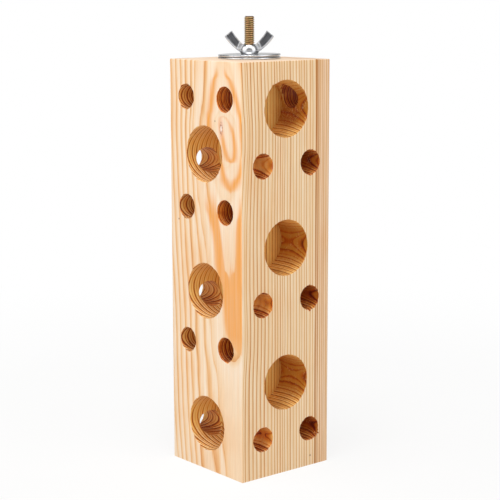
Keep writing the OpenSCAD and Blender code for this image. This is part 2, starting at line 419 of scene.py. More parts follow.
def makeBlock():
    width, top = block["side"] - 2 * block["inset"], block["height"]
    bm = bmesh.new()
    bmesh.ops.create_cube(bm, size=1)
    bmesh.ops.scale(bm, verts=bm.verts[:], vec=(width, width, top - 2 * block["inset"]))
    raiseBy(bm, top / 2)
    roundEdges(bm, bm.edges[:], block["edge"], block["edgeSteps"])
    post = addPiece("woodBlock", bm)

    cutters = []
    for faceTurn, name in ((0, "frontTreats"), (180, "frontTreats"), (90, "sideTreats"), (270, "sideTreats")):
        strays = block["frontStray"] if faceTurn == 0 else (0, 0, 0)
        for z, stray in zip(block[name], strays):
            cutters.append(drill("treat", stray, z, 0, faceTurn))
    for faceTurn, name in ((0, "frontPairs"), (90, "sidePairs")):
        for z in block[name]:
            for side in (-1, 1):
                x = block["pairShift"] + side * block["pairHalf"]
                cutters.append(drill("perch", x, z, side, faceTurn))
    pilot, shank = block["pilotRadius"], block["shankRadius"]
    low, step, high = top - block["pilotDepth"], top - block["shankDepth"], top + block["overrun"]
    bm = bmesh.new()
    turn(bm, [(0, low), (pilot, low + 1), (pilot, step), (shank, step), (shank, high), (0, high)], 32)
    cutters.append(addPiece("boltHole", bm))

    tools = bpy.data.collections.new("drills")
    scene.collection.children.link(tools)
    for cutter in cutters:
        scene.collection.objects.unlink(cutter)
        tools.objects.link(cutter)
    cut = post.modifiers.new("drilled", "BOOLEAN")
    cut.operation, cut.solver = "DIFFERENCE", "MANIFOLD"
    cut.operand_type, cut.collection = "COLLECTION", tools
    bpy.context.view_layer.update()
    mesh = settle(post)
    for cutter in cutters:
        bpy.data.objects.remove(cutter)
    bpy.data.collections.remove(tools)

    bm = mend(mesh, 2e-6)
    for face in bm.faces:  # the block's own large faces stay flat, the drilled walls are smooth
        face.smooth = not (max(abs(n) for n in face.normal) > 0.9999 and face.calc_area() > 1e-6)
    marks = [boreMark(face.calc_center_median() / mm, face.normal) for face in bm.faces]
    bm.to_mesh(mesh)
    bm.free()
    mesh.set_sharp_from_angle(angle=math.radians(32))
    mesh.materials.clear()
    markFaces(mesh, "bored", [bored for bored, _ in marks])
    markFaces(mesh, "shadeAndBurnish", [shadeAndBurnish for _, shadeAndBurnish in marks])
    print("block:", len(mesh.polygons), "faces,", triangles(mesh), "triangles")
    return post


# Softwood as a solid: the rings lie round a pith in front of the front face, each a sheet that sags into the
# block. All in millimetres from the block's left front bottom corner: u along the front, v inwards, z up.
wood = {
    "domeSlope": 16.77, "domeReach": 26.28, "domeSpread": 31.6, "domeDepth": 22.0, "apexDrift": -0.1,
    "pithAway": 41.0, "leftward": 1.9, "leftFrom": (-38, -16),
    "sway": 3.0, "waver": (1.2, 0.4), "deepWaver": 0.3,  # how far uneven growth moves the rings
    "levels": (0, 30, 60, 90, 120, 150, 175, 195, 210, 225, 254),
    "apexAt": (64.6, 62.0, 60.6, 60.1, 58.1, 56.1, 54.8, 54.3, 53.9, 54.0, 52.7), "apexRange": (50, 66),
    "domeRise": (7.24, 7.0, 6.55, 4.99, 5.16, 4.59, 2.87, 1.19, 0.07, 1.29, 3.05), "riseRange": (0, 8),
    "rings": (-3.0, -1.0, 1.5, 3.2, 5.7, 7.8, 9.0, 11.3, 13.7, 16.1, 18.8, 21.3, 23.7, 26.4, 28.6, 30.4, 32.6,
              34.3, 36.0, 38.1, 40.5, 42.8, 45.2, 47.5, 49.3, 51.5, 53.2, 56.2, 58.1, 60.7, 62.1, 64.1, 65.7,
              67.0, 69.0, 71.2, 73.7, 76.2, 78.7, 81.2, 83.7),
    # how dark the wood is across one ring, and how much and from what strength the lines differ
    "lateWood": greys((0, 1), (0.06, 0.92), (0.22, 0.55), (0.42, 0.2), (0.7, 0.03), (0.84, 0.06),
                      (0.94, 0.55), (1, 1)),
    "ringStrength": (0.8, 0.45), "patchStrength": (0.7, 0.62), "streakStrength": (0.5, -0.14),
    # for the right face and for drilled walls: a second line in each ring, and crisper lines
    "between": (0.3, 0.8), "crisp": (1.2, 0.7), "shadedAndBurnishedCrisp": -0.9,
    # the lines' contrast on the front face, and how much more or less it is elsewhere
    "contrast": {"front": 0.72, "side": 0.22, "bored": 0.6, "shadeAndBurnish": 0.8, "floor": -0.35,
                 "frontFloor": -0.15, "endGrain": 0.35, "shadedCeilings": -0.4, "sideWall": -0.22, "figured": -0.8},
    # uneven patterns: scale along u, v and z, detail, roughness
    "patterns": {
        "sway": ((0.05, 0.05, 0.016), 2, 0.5), "waver": ((0.3, 0.3, 0.028), 2, 0.5),
        "patch": ((0.03, 0.03, 0.01), 2, 0.5), "cloud": ((0.04, 0.04, 0.02), 2, 0.5),
        "fine": ((2.6, 2.6, 0.07), 3, 0.6), "streaks": ((0.6, 0.6, 0.012), 3, 0.5),
        "scorch": ((0.22, 0.22, 0.22), 3, 0.6), "speck": ((1.4, 1.4, 0.9), 4, 0.7),
    },
    # the dark streak at the right face's back edge, two lines and a wash: where each comes and goes, how dark
    "darkBand": ((58.1, 58.5, 59.2, 59.6, 1.0), (60.3, 60.6, 60.9, 61.3, 0.8),
                 (58.0, 58.7, 61.0, 61.6, 0.42)),
    # where each uneven mark shows: from and to which value of its pattern, and from and to what strength
    "spots": {"cloud": (0.4, 0.7, 0, 0.3), "band": (0.3, 0.6, 0.6, 1), "scorch": (0.42, 0.66, 0, 0.5),
              "fuzz": (0.5, 0.62), "torn": (0.52, 0.66, 0, 0.5), "ragged": (8, 14, 1, 0)},
    # how strongly the even tints show
    "amounts": {"openEnd": 0.45, "fibres": 0.3, "wallFibres": 0.8, "shadedCeilings": 0.8, "scorchAndShadeLines": 0.55,
                "ragged": 0.6},
    # depths behind the front face between which a tint comes or goes, the second and third of them placing
    # painted shade deep in the side pockets
    "frontPocket": (24, 32), "backWalls": (24, 45), "sideFloorShade": (38, 52, 0, 0.65), "lastRings": (60, 64),
    "tones": [(0, tone(247, 229, 209)), (0.2, tone(243, 215, 182)), (0.45, tone(238, 197, 150)),
              (0.72, tone(230, 173, 114)), (1, tone(208, 142, 80))],
    "wallTones": [(0, tone(255, 232, 158)), (0.3, tone(255, 209, 112)), (0.6, tone(238, 155, 62)),
                  (1, tone(150, 73, 21))],
    "cloudTone": tone(248, 216, 178), "radialTone": tone(230, 211, 189), "endTone": tone(250, 234, 218),
    "sideTone": tone(248, 244, 230), "lastTone": tone(250, 243, 243), "darkBandTone": tone(176, 108, 42),
    "cutEndTone": tone(255, 238, 200), "alongAndShadeTone": tone(190, 152, 98), "ceilingShadeTone": tone(243, 224, 198),
    "leftWallShadeTone": tone(232, 221, 217), "shadeAndBurnishTone": tone(244, 174, 44), "scorchAndShadeTone": tone(184, 102, 42),
    "raggedAt": (54, 50, 221), "raggedTone": tone(196, 138, 78), "tornTone": tone(240, 206, 150),
    "relief": (0.6, 0.25, 0.8),  # of the fibres, the rings, and the specks on drilled walls
    "bump": 0.35, "bumpHigh": 0.25, "rough": (0.2, 0.5),
}

# The figure where the front face slices the outermost rings: heights, and where each line lies or how wide it
# is. The other pairs are heights between which a part of it comes or goes.
figure = {
    "fade": 2.5, "tone": tone(237, 157, 66), "waver": 2.4, "patchy": (0.55, 0.95, 0.74, 1),
    "plainAbove": (72, 95), "plainWithin": (12, 17),  # where the rings themselves are plain
    "outerMiddle": ((182, 59), (190, 60), (205, 57), (215, 54.5), (225, 53.7), (235, 52.5), (243, 51.5),
                    (252, 50.5)),
    "outerHalf": ((172, -9), (175, -5), (178, -1), (180, 1.5), (182, 3.5), (185, 6), (188, 7.8), (192, 9),
                  (200, 12.3), (210, 15), (218, 15.5), (225, 13.7), (235, 10.5), (243, 7.5), (250, 4)),
    "outerWide": ((174, 2.5), (178, 4), (182, 5), (185, 3.8), (188, 2.9), (195, 2.2), (215, 2.6), (235, 2.8),
                  (250, 1.6)),
    "innerMiddle": ((196, 59.5), (200, 59), (207, 57.5), (213, 55.8), (219, 53.5), (222, 52.5)),
    "innerHalf": ((192, -7), (195, -0.5), (197, 2.5), (200, 4), (207, 5.2), (213, 5.4), (219, 4), (222, 0.3),
                  (226, -7)),
    "innerWide": ((193, 3.8), (196, 3.4), (199, 2.7), (206, 2.3), (220, 1.8)),
    "loopsTop": (244, 252, 1, 0), "innerPales": (213, 221, 0.95, 0.4),
    "tongueLeft": ((74, 76), (80, 66), (88, 55), (95, 52), (110, 50), (120, 47.5), (130, 43.5), (140, 42),
                   (150, 40), (160, 36.5), (170, 33)),
    "paleLeft": ((124, 57), (130, 52.5), (140, 51), (150, 49.5), (160, 47.5), (170, 45)),
    "paleRight": ((124, 59), (130, 62), (140, 63.5), (150, 64), (160, 65), (170, 67)),
    "tongueTop": (160, 180, 1, 0), "tongueFoot": (70, 92), "tongueSoft": (-1.5, 3.5), "strongest": 0.95,
    "paleFoot": (120, 134), "frayed": (50, 26), "leftSoft": (-0.8, 1.2), "rightSoft": (-1.5, 1.5, 1, 0),
    # the resin pocket: its middle and size, and its pale heart, rim and halo in shares of that size
    "resinAt": (50.5, 0, 214.3), "resinSize": (0.8, 4.0, 2.3), "resinTone": tone(246, 232, 220),
    "resinRim": tone(150, 92, 78), "resinHalo": tone(240, 188, 160),
    "heart": (0.6, 0.95, 1, 0), "rimIn": (0.7, 1), "rimOut": (1.1, 2.3, 0.75, 0), "halo": (1, 4.2, 0.6, 0),
    "specks": ((7.9, 0, 155.6, 0.5), (69.5, 54.9, 6.5, 0.55), (44.6, 0, 218.5, 0.4)),
    "speckTone": tone(120, 66, 44),
}


def makeWood():
    s = Sheet(bpy.data.materials.new("softwood"))
    inBlock = s.inMillimetres((half, half, 0))
    u, v, z = s.split(inBlock)
    top = block["height"]
    height = s.over(z, top)

    def pattern(name):
        scale, detail, roughness = wood["patterns"][name]
        return s.noise(s.stretch(inBlock, scale), detail, roughness)

    fine, streaks, scorch, speck = (pattern(name) for name in ("fine", "streaks", "scorch", "speck"))
    sway, waver = (s.minus(pattern(name), 0.5) for name in ("sway", "waver"))

    # which kind of face a point is on, each from 0 to 1
    normal = s.split(s.add("ShaderNodeNewGeometry").outputs["Normal"])
    sideways, frontways, upwards = (s.maths("ABSOLUTE", share) for share in normal)
    endGrain, sideCut = s.window(upwards, 0.25, 0.95), s.window(sideways, 0.5, 0.95)
    inside, shadeAndBurnish = s.marked("bored"), s.marked("shadeAndBurnish")
    sideWall, endWall = s.times(sideCut, inside), s.times(endGrain, inside)
    alongRings = s.times(s.window(frontways, 0.45, 0.95), inside)
    # painted shade: drilled walls that face downwards and are not polished by the drill, darkened below and
    # their lines softened
    shadedCeilings = s.times(s.window(normal[2], 0.1, -0.6), s.minus(inside, shadeAndBurnish, clamp=True))
    frontPocket = s.window(v, *wood["frontPocket"], 1, 0)
    nearFront = s.fading(v, figure["fade"])

    # how deep a point lies among the rings
    def upTheBlock(name, low, high):
        points = [(a / top, (b - low) / (high - low)) for a, b in zip(wood["levels"], wood[name])]
        return s.scaled(s.curve(height, points), high - low, low)

    apex, rise = upTheBlock("apexAt", *wood["apexRange"]), upTheBlock("domeRise", *wood["riseRange"])
    off = s.minus(s.scaled(v, -wood["apexDrift"], u), apex)
    wavering = s.times(waver, s.scaled(nearFront, *wood["waver"]))
    ratio = s.over(s.plus(wavering, s.scaled(sway, wood["sway"], off)), wood["domeReach"])
    bulge = s.times(s.minus(s.maths("SQRT", s.scaled(ratio, ratio, 1)), 1), wood["domeSlope"])
    bulge = s.times(bulge, s.over(wood["pithAway"], s.plus(v, wood["pithAway"])))
    bulge = s.minus(bulge, s.window(off, *wood["leftFrom"], wood["leftward"], 0))
    shallow = s.times(s.bell(s.over(off, wood["domeSpread"])), s.fading(v, wood["domeDepth"]))
    depth = s.plus(s.plus(v, bulge), s.times(rise, shallow))
    depth = s.scaled(waver, s.window(v, 0, 6, 0, wood["deepWaver"]), depth)

    # rings: pale early wood that darkens to a crisp edge
    rings = wood["rings"]
    last, span = len(rings) - 1, rings[-1] - rings[0]
    marks = [((ring - rings[0]) / span, i / last) for i, ring in enumerate(rings)]
    count = s.times(s.curve(s.over(s.minus(depth, rings[0]), span), marks, "VECTOR"), last)

    def lateWood(place):
        return s.ramp(s.minus(1, s.maths("FRACT", place)), wood["lateWood"])

    def sideOrWall(name):
        side, wall = wood[name]
        return s.most(s.times(sideCut, side), s.times(inside, wall))

    lines = s.most(lateWood(count), s.times(lateWood(s.times(count, 2)), sideOrWall("between")))
    crisp = s.times(sideOrWall("crisp"), s.scaled(shadeAndBurnish, wood["shadedAndBurnishedCrisp"], 1))
    lines = s.maths("POWER", lines, s.plus(crisp, 1))
    pick = s.add("ShaderNodeTexWhiteNoise", noise_dimensions="1D")
    s.plug(s.maths("FLOOR", count), pick.inputs["W"])
    strength = s.scaled(pick.outputs["Value"], *wood["ringStrength"])
    dark = s.times(lines, s.times(strength, s.scaled(pattern("patch"), *wood["patchStrength"])))
    more = wood["contrast"]
    contrast = more["front"]
    for share, name in ((sideCut, "side"), (shadeAndBurnish, "shadeAndBurnish"), (inside, "bored")):
        contrast = s.scaled(share, more[name], contrast)
    floors = s.times(alongRings, s.scaled(frontPocket, more["frontFloor"], more["floor"]))
    contrast = s.times(contrast, s.plus(floors, 1))
    figured = s.times(s.window(s.maths("ABSOLUTE", off), *figure["plainWithin"], 1, 0),
                      s.window(z, *figure["plainAbove"]))
    for share, name in ((endWall, "endGrain"), (shadedCeilings, "shadedCeilings"), (sideWall, "sideWall"),
                        (s.times(figured, nearFront), "figured")):
        contrast = s.times(contrast, s.scaled(share, more[name], 1))
    dark = s.plus(s.times(dark, contrast), s.scaled(streaks, *wood["streakStrength"]), clamp=True)

    spots, amounts = wood["spots"], wood["amounts"]
    colour = s.ramp(dark, wood["tones"])
    colour = s.tinted(colour, wood["cloudTone"], s.window(pattern("cloud"), *spots["cloud"]))

    # the sliced rings: two closed loops near the top, and a tongue of late wood with a pale middle below them
    def follow(name):
        points = figure[name]
        low, high = min(p[1] for p in points), max(p[1] for p in points)
        ends = [(0, points[0][1]), *points, (top, points[-1][1])]
        line = s.curve(height, [(a / top, (b - low) / (high - low)) for a, b in ends], "AUTO_CLAMPED")
        return s.scaled(line, high - low, low)

    figureU = s.scaled(waver, figure["waver"], u)

    def past(name, softness):
        return s.window(s.minus(figureU, follow(name)), *figure[softness])

    patchy = s.window(s.scaled(fine, 0.5, streaks), *figure["patchy"])
    painted = 0.0
    for name, amount in (("outer", 1.0), ("inner", s.window(z, *figure["innerPales"]))):
        outward = s.maths("ABSOLUTE", s.minus(figureU, follow(name + "Middle")))
        fromLine = s.over(s.minus(outward, follow(name + "Half")), follow(name + "Wide"))
        painted = s.most(painted, s.times(s.bell(fromLine), amount))
    painted = s.times(painted, s.window(z, *figure["loopsTop"]))
    tongue = s.times(s.window(z, *figure["tongueTop"]), s.window(z, *figure["tongueFoot"]))
    tongue = s.times(past("tongueLeft", "tongueSoft"), tongue)
    frayed = z
    for fibres, amount in zip((streaks, fine), figure["frayed"]):
        frayed = s.scaled(s.minus(fibres, 0.5), amount, frayed)
    pale = s.times(past("paleLeft", "leftSoft"), past("paleRight", "rightSoft"))
    pale = s.times(pale, s.window(frayed, *figure["paleFoot"]))
    tongue = s.times(tongue, s.scaled(pale, -figure["strongest"], figure["strongest"]))
    painted = s.times(s.times(s.most(painted, tongue), patchy), nearFront)
    colour = s.blend(s.times(painted, s.minus(1, sideCut)), colour, figure["tone"])

    # the ends are paler and the right face yellower, with a dark streak near its back edge
    openEnd = s.times(endGrain, s.minus(1, inside))
    colour = s.blend(s.times(openEnd, amounts["openEnd"]), colour, wood["endTone"])
    fibre = s.grey(s.scaled(s.minus(fine, 0.5), amounts["fibres"], 1.0))
    colour = s.tinted(colour, fibre)
    colour = s.tinted(colour, wood["radialTone"], s.times(dark, s.most(sideCut, inside)))
    colour = s.tinted(colour, wood["sideTone"], sideCut)
    colour = s.tinted(colour, wood["lastTone"], s.times(sideCut, s.window(v, *wood["lastRings"])))
    acrossBand = s.scaled(sway, 0.8, v)
    inBand = 0.0
    for rise0, rise1, fall0, fall1, amount in wood["darkBand"]:
        line = s.times(s.window(acrossBand, rise0, rise1), s.window(acrossBand, fall0, fall1, amount, 0))
        inBand = s.most(line, inBand)
    inBand = s.times(inBand, s.window(streaks, *spots["band"]))
    colour = s.blend(inBand, colour, wood["darkBandTone"])

    # drilled walls: stronger lines, pale where they cut fibres across, browner where they run along the
    # rings, and
    # painted shade: darker deep in the side pockets and towards their floor corners, on walls facing down and
    # on the front pockets' left walls
    walls = s.ramp(dark, wood["wallTones"])
    cutEnds = s.times(s.times(endGrain, s.window(dark, 0.1, 0.5, 0.5, 0)), s.scaled(frontPocket, 1.2, 0.3))
    walls = s.blend(cutEnds, walls, wood["cutEndTone"])
    for tint, share in ((wood["alongAndShadeTone"], s.times(alongRings, s.window(v, *wood["backWalls"]))),
                        (wood["alongAndShadeTone"], s.times(sideCut, s.window(v, *wood["sideFloorShade"]))),
                        (fibre, amounts["wallFibres"]),
                        (wood["ceilingShadeTone"], s.times(shadedCeilings, amounts["shadedCeilings"])),
                        # painted shade on the front pockets' left walls, which face right
                        (wood["leftWallShadeTone"], s.times(s.window(normal[0], 0.2, 0.8), frontPocket))):
        walls = s.tinted(walls, tint, share)
    colour = s.blend(inside, colour, walls)

    # where the drill polished the walls shiny and scorched them, which also paints shade that darkens and
    # reddens the narrow holes, and where it tore the fibres
    rubbedAndShaded = s.times(inside, shadeAndBurnish)
    ragged = s.scaled(speck, 5, s.measure("DISTANCE", inBlock, wood["raggedAt"]))
    ragged = s.times(s.window(ragged, *spots["ragged"]), inside)
    for tint, share in (("shadeAndBurnishTone", s.times(rubbedAndShaded, s.scaled(dark, 0.3, 0.85), clamp=True)),
                        ("scorchAndShadeTone", s.times(s.times(rubbedAndShaded, dark), amounts["scorchAndShadeLines"])),
                        ("scorchAndShadeTone", s.times(rubbedAndShaded, s.window(scorch, *spots["scorch"]))),
                        ("raggedTone", s.times(ragged, amounts["ragged"]))):
        colour = s.tinted(colour, wood[tint], share)
    fuzzy = s.most(endGrain, s.times(alongRings, s.window(scorch, *spots["fuzz"])))
    torn = s.times(s.window(speck, *spots["torn"]), s.times(inside, s.most(fuzzy, ragged)))
    colour = s.blend(torn, colour, wood["tornTone"])

    # the resin pocket near the top of the front face, and a few small specks
    sizes = [1 / size for size in figure["resinSize"]]
    fromResin = s.stretch(inBlock, sizes, [-at * size for at, size in zip(figure["resinAt"], sizes)])
    spot = s.scaled(waver, 0.7, s.measure("LENGTH", fromResin))
    rim = s.times(s.window(spot, *figure["rimIn"]), s.window(spot, *figure["rimOut"]))
    rim = s.times(rim, s.window(speck, 0.4, 0.56))
    for share, tint in ((s.window(spot, *figure["halo"]), "resinHalo"), (rim, "resinRim"),
                        (s.window(spot, *figure["heart"]), "resinTone")):
        colour = s.blend(share, colour, figure[tint])
    for *where, radius in figure["specks"]:
        away = s.scaled(speck, 0.8, s.measure("DISTANCE", inBlock, where))
        colour = s.blend(s.window(away, radius, radius + 0.8, 0.8, 0), colour, figure["speckTone"])

    relief = 0.0
    for part, high in zip((fine, dark, s.times(speck, inside)), wood["relief"]):
        relief = s.scaled(part, high, relief)
    s.bump(relief, wood["bump"], wood["bumpHigh"] * mm)
    return s.finish(colour, s.scaled(fine, *wood["rough"]), specular=0.3)


softwood = makeWood()
woodBlock = makeBlock()
woodBlock.data.materials.append(softwood)
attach(woodBlock, "post")
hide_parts("wood_block")
print("block done")

# the steel that clamps the block to a cage: hanger bolt, two washers and a wing nut
bolt = {
    "seat": 254, "top": 279.6, "cone": 0.95, "shank": 2.75, "shankLow": 250.5, "screwLow": 226.5,
    "point": 3.6,
    # the foot and the flat top of a thread's ridge are shares of its pitch
    "stud": {"pitch": 1.27, "crest": 3.17, "root": 2.42, "foot": 0.94, "flat": 0.3, "steps": 36},
    "screw": {"pitch": 2.54, "crest": 3.08, "root": 2.2, "foot": 0.45, "flat": 0.12, "steps": 28},
}


def threadRod(thread, low, high, spare=0.0):
    # a rod with one true helical thread: one pitch of its outline is swept up round Z, then its ends are cut
    pitch, steps = thread["pitch"], thread["steps"]
    crest, root = thread["crest"] + spare, thread["root"] + spare
    foot, flat = (1 - thread["foot"]) / 2 * pitch, (1 - thread["flat"]) / 2 * pitch
    turns = math.ceil((high - low) / pitch) + 3
    start = (math.floor(low / pitch) - 1) * pitch
    end = start + pitch
    bm = bmesh.new()
    lineOf(bm, [(root, start), (root, start + foot), (crest - 0.04, start + flat - 0.02),
                (crest, start + flat + 0.06), (crest, end - flat - 0.06), (crest - 0.04, end - flat + 0.02),
                (root, end - foot), (root, end)])
    bmesh.ops.spin(bm, geom=bm.verts[:] + bm.edges[:], cent=(0, 0, 0), axis=(0, 0, 1),
                   dvec=(0, 0, pitch / steps), angle=math.tau * turns, steps=steps * turns, use_merge=False)
    bmesh.ops.remove_doubles(bm, verts=bm.verts[:], dist=1e-3)
    for level, outward in ((low, -1), (high, 1)):
        bmesh.ops.bisect_plane(bm, geom=bm.verts[:] + bm.edges[:] + bm.faces[:], dist=1e-5,
                               plane_co=(0, 0, level), plane_no=(0, 0, outward), clear_outer=True)
        rim = [edge for edge in bm.edges
               if edge.is_boundary and all(abs(vert.co.z - level) < 1e-4 for vert in edge.verts)]
        bmesh.ops.holes_fill(bm, edges=rim, sides=0)
    faceOutwards(bm)
    return bm


def unite(name, parts, sharpAngle=35, cutters=()):
    # joins solids into one, less the cutters
    first, *others = parts
    for operation, tools in (("UNION", others), ("DIFFERENCE", cutters)):
        for tool in tools:
            step = first.modifiers.new("step", "BOOLEAN")
            step.operation, step.object, step.solver = operation, tool, "MANIFOLD"
    bpy.context.view_layer.update()
    mesh = settle(first)
    for tool in (*others, *cutters):
        bpy.data.objects.remove(tool)
    bm = mend(mesh, 3e-6)
    bm.to_mesh(mesh)
    bm.free()
    mesh.materials.clear()
    mesh.shade_smooth()
    mesh.set_sharp_from_angle(angle=math.radians(sharpAngle))
    first.name = mesh.name = name
    return first


def makeBolt():
    low, high, radius = bolt["shankLow"], bolt["seat"], bolt["shank"]
    stud = threadRod(bolt["stud"], high - 0.2, bolt["top"])
    for vert in stud.verts:  # the end is turned to a short cone
        reach = math.hypot(vert.co.x, vert.co.y)
        most = bolt["stud"]["root"] + 0.05 + (bolt["top"] - vert.co.z) * bolt["cone"]
        if reach > most:
            vert.co.x *= most / reach
            vert.co.y *= most / reach
    screw = threadRod(bolt["screw"], bolt["screwLow"] + 0.15, low + 0.3)
    for vert in screw.verts:  # and the wood screw end to a point
        share = min((vert.co.z - bolt["screwLow"]) / bolt["point"], 1)
        vert.co.x *= share
        vert.co.y *= share
    shank = bmesh.new()
    turn(shank, [(0, low - 0.5), (1.9, low - 0.5), (radius - 0.1, low + 0.2), (radius, low + 0.4),
                 (radius, high - 0.5), (radius - 0.3, high), (2.3, high + 0.3), (0, high + 0.3)], 36)
    parts = [addPiece(name, bm) for name, bm in (("shank", shank), ("stud", stud), ("screw", screw))]
    return unite("hangerBolt", parts, 32)


washer = {
    "radius": 19.0, "bore": 3.55, "thick": 1.16, "edge": 0.34, "steps": 160, "raised": 50.5,
    "lower": (254.1, 0.3), "upper": (255.64, 0.85),  # height and tilt in degrees
}


def makeWasher(name, low, tilt):
    # a stamped fender washer: rolled edge on one side, sharper on the other, lying a little askew
    w = washer
    outer, inner, thick, edge = w["radius"], w["bore"], w["thick"], w["edge"]
    roll = outer - edge  # where the flat ends and the rolled edge begins
    sharp = edge * 0.75
    section = [(inner + 0.12, 0), (roll, 0)]
    section += [(roll + edge * math.sin(a), edge - edge * math.cos(a)) for a in (0.4, 0.8, 1.2, 1.57)]
    section += [(outer, thick - sharp)]
    section += [(roll + edge * math.cos(a), thick - sharp + sharp * math.sin(a)) for a in (0.4, 0.8, 1.2)]
    section += [(roll, thick), (outer - 2.2, thick - 0.03), (inner + 1.2, thick - 0.02),
                (inner + 0.5, thick - 0.08), (inner + 0.14, thick - 0.22), (inner, thick - 0.45),
                (inner, 0.12), (inner + 0.12, 0)]
    bm = bmesh.new()
    turn(bm, section, w["steps"])
    angle = math.radians(w["raised"])
    swing(bm, -tilt, Vector((-math.sin(angle), math.cos(angle), 0)))
    raiseBy(bm, low)
    return addPiece(name, bm, 40)


nut = {
    "seat": 256.8, "turned": 50.5, "thick": 2.6, "clearance": 0.05, "hubSteps": 96,
    "hub": ((3.5, 0), (4.85, 0), (5.1, 0.12), (5.35, 0.5), (5.75, 1.2), (5.92, 1.9), (5.9, 2.6), (5.72, 3.4),
            (5.4, 4.3), (5.0, 5.05), (4.6, 5.5), (4.15, 5.78), (3.75, 5.86), (3.5, 5.82), (3.2, 5.6),
            (2.62, 5.1), (2.62, 0.6), (3.2, 0.1)),
    # a wing's corners, how its two long edges bow, and its rounded rim
    "foot": (4.2, 0.5), "root": (3.7, 5.5), "outer": (15.1, 10.6), "upper": (10.6, 14.2),
    "bulge": 0.9, "hollow": 0.3, "rim": 0.34,
    # the sunk panel and the thick root, in shares along and up the wing
    "panelFrom": (0.3, 0.2), "panelTo": (0.968, 0.9), "sunk": 0.42, "knurls": (8, 4), "knurlHigh": 0.36,
    "rootEdge": ((0, 0), (0.16, 0), (0.3, 0.04), (0.27, 0.9), (0.12, 0.99), (0, 1)), "rootOver": 0.55,
    "rootRound": 0.5,
}


def wingPoint(along, up):
    # a place on the wing: along from hub to tip, up from the lower edge to the upper one
    (fx, fz), (rx, rz), (ox, oz), (ux, uz) = nut["foot"], nut["root"], nut["outer"], nut["upper"]
    chord = Vector((ox - fx, oz - fz)).normalized()
    outward, bow = Vector((chord.y, -chord.x)), 4 * along * (1 - along)
    low = Vector((fx + along * (ox - fx), fz + along * (oz - fz))) + bow * nut["bulge"] * outward
    high = Vector((rx + along * (ux - rx), rz + along * (uz - rz))) + bow * nut["hollow"] * outward
    return low.lerp(high, up)


def panelPoint(along, up, spareAlong=0.0, spareUp=0.0):
    # a place on the sunk panel, in shares of it
    (fromAlong, fromUp), (toAlong, toUp) = nut["panelFrom"], nut["panelTo"]
    return wingPoint(fromAlong - spareAlong + (toAlong - fromAlong + 2 * spareAlong) * along,
                     fromUp - spareUp + (toUp - fromUp + 2 * spareUp) * up)


def slab(corners, nearY, farY):
    # an outline in the XZ plane made solid between two values of Y
    bm = bmesh.new()
    face = bm.faces.new([bm.verts.new((x, nearY, z)) for x, z in corners])
    grown = bmesh.ops.extrude_face_region(bm, geom=[face])
    bmesh.ops.translate(bm, verts=grownVerts(grown), vec=(0, farY - nearY, 0))
    faceOutwards(bm)
    return bm


def knurlPad(side):
    # the cross-knurled floor of the sunk panel, a grid of small pyramids
    columns, rows = nut["knurls"]
    floorAt = nut["thick"] / 2 - nut["sunk"]
    bm = bmesh.new()
    bmesh.ops.create_grid(bm, x_segments=columns * 2, y_segments=rows * 2, size=0.5)
    grown = bmesh.ops.extrude_face_region(bm, geom=bm.faces[:])
    back = set(grownVerts(grown))
    for vert in bm.verts:
        a, b = vert.co.x + 0.5, vert.co.y + 0.5
        place = panelPoint(a, b, 0.01, 0.02)
        ridge = (round(a * columns * 2) % 2) * (round(b * rows * 2) % 2)
        high = nut["knurlHigh"] * ridge * (0.85 + 0.3 * grain(place.x, place.y, side, 1.1, 5))
        vert.co = (place.x, side * (floorAt - 0.4 if vert in back else floorAt + high), place.y)
    faceOutwards(bm)
    return bm


def makeWing(mirrored):
    halfThick = nut["thick"] / 2
    outline = [wingPoint(i / 14, 0) for i in range(15)] + [wingPoint(1 - i / 10, 1) for i in range(11)]
    wing = slab(outline, -halfThick, halfThick)
    edges = [edge for edge in wing.edges if abs(edge.verts[0].co.y - edge.verts[1].co.y) < 0.01
             or (edge.verts[0].co.x > 9 and edge.calc_face_angle(0) > 0.6)]
    roundEdges(wing, edges, nut["rim"], 5)
    panel = [panelPoint(i / 12, 0) for i in range(13)] + [panelPoint(1 - i / 8, 1) for i in range(9)]
    floorAt = halfThick - nut["sunk"]
    sunk = [slab(panel, floorAt, halfThick + 1), slab(panel, -halfThick - 1, -floorAt)]
    rootAt = halfThick + nut["rootOver"]
    root = slab([wingPoint(*place) for place in nut["rootEdge"]], -rootAt, rootAt)
    roundEdges(root, root.edges[:], nut["rootRound"], 3)
    made = []
    for bm in (wing, *sunk, root, knurlPad(1), knurlPad(-1)):
        bmesh.ops.scale(bm, vec=(mirrored, 1, 1), verts=bm.verts[:])
        faceOutwards(bm)
        swing(bm, nut["turned"])
        raiseBy(bm, nut["seat"])
        made.append(addPiece("wingPart", bm))
    wing, nearPanel, farPanel, *others = made
    return [unite("wing", [wing], cutters=[nearPanel, farPanel]), *others]


def makeWingNut():
    hub = bmesh.new()
    turn(hub, [*nut["hub"], nut["hub"][0]], nut["hubSteps"])
    raiseBy(hub, nut["seat"])
    tap = threadRod(bolt["stud"], nut["seat"] - 1, nut["seat"] + 7, nut["clearance"])
    solids = [addPiece("hub", hub), *makeWing(1), *makeWing(-1)]
    return unite("wingNut", solids, 35, [addPiece("tap", tap)])


def markPanels(mesh):
    # 1 on the faces of the sunk panels, which keep a dull, darker plating
    turned = Matrix.Rotation(-math.radians(nut["turned"]), 3, "Z")
    edges = [panelPoint(*corner) for corner in ((0, 0), (0.5, 0), (1, 0), (1, 1), (0, 1))]
    marks = []
    for face in mesh.polygons:
        place = turned @ (face.center / mm)
        spot = Vector((abs(place.x), place.z - nut["seat"]))
        within = all((b - a).cross(spot - a) > -0.25 for a, b in zip(edges, edges[1:] + edges[:1]))
        marks.append(float(within and abs(place.y) < nut["thick"] / 2 - 0.06))
    markFaces(mesh, "panel", marks)
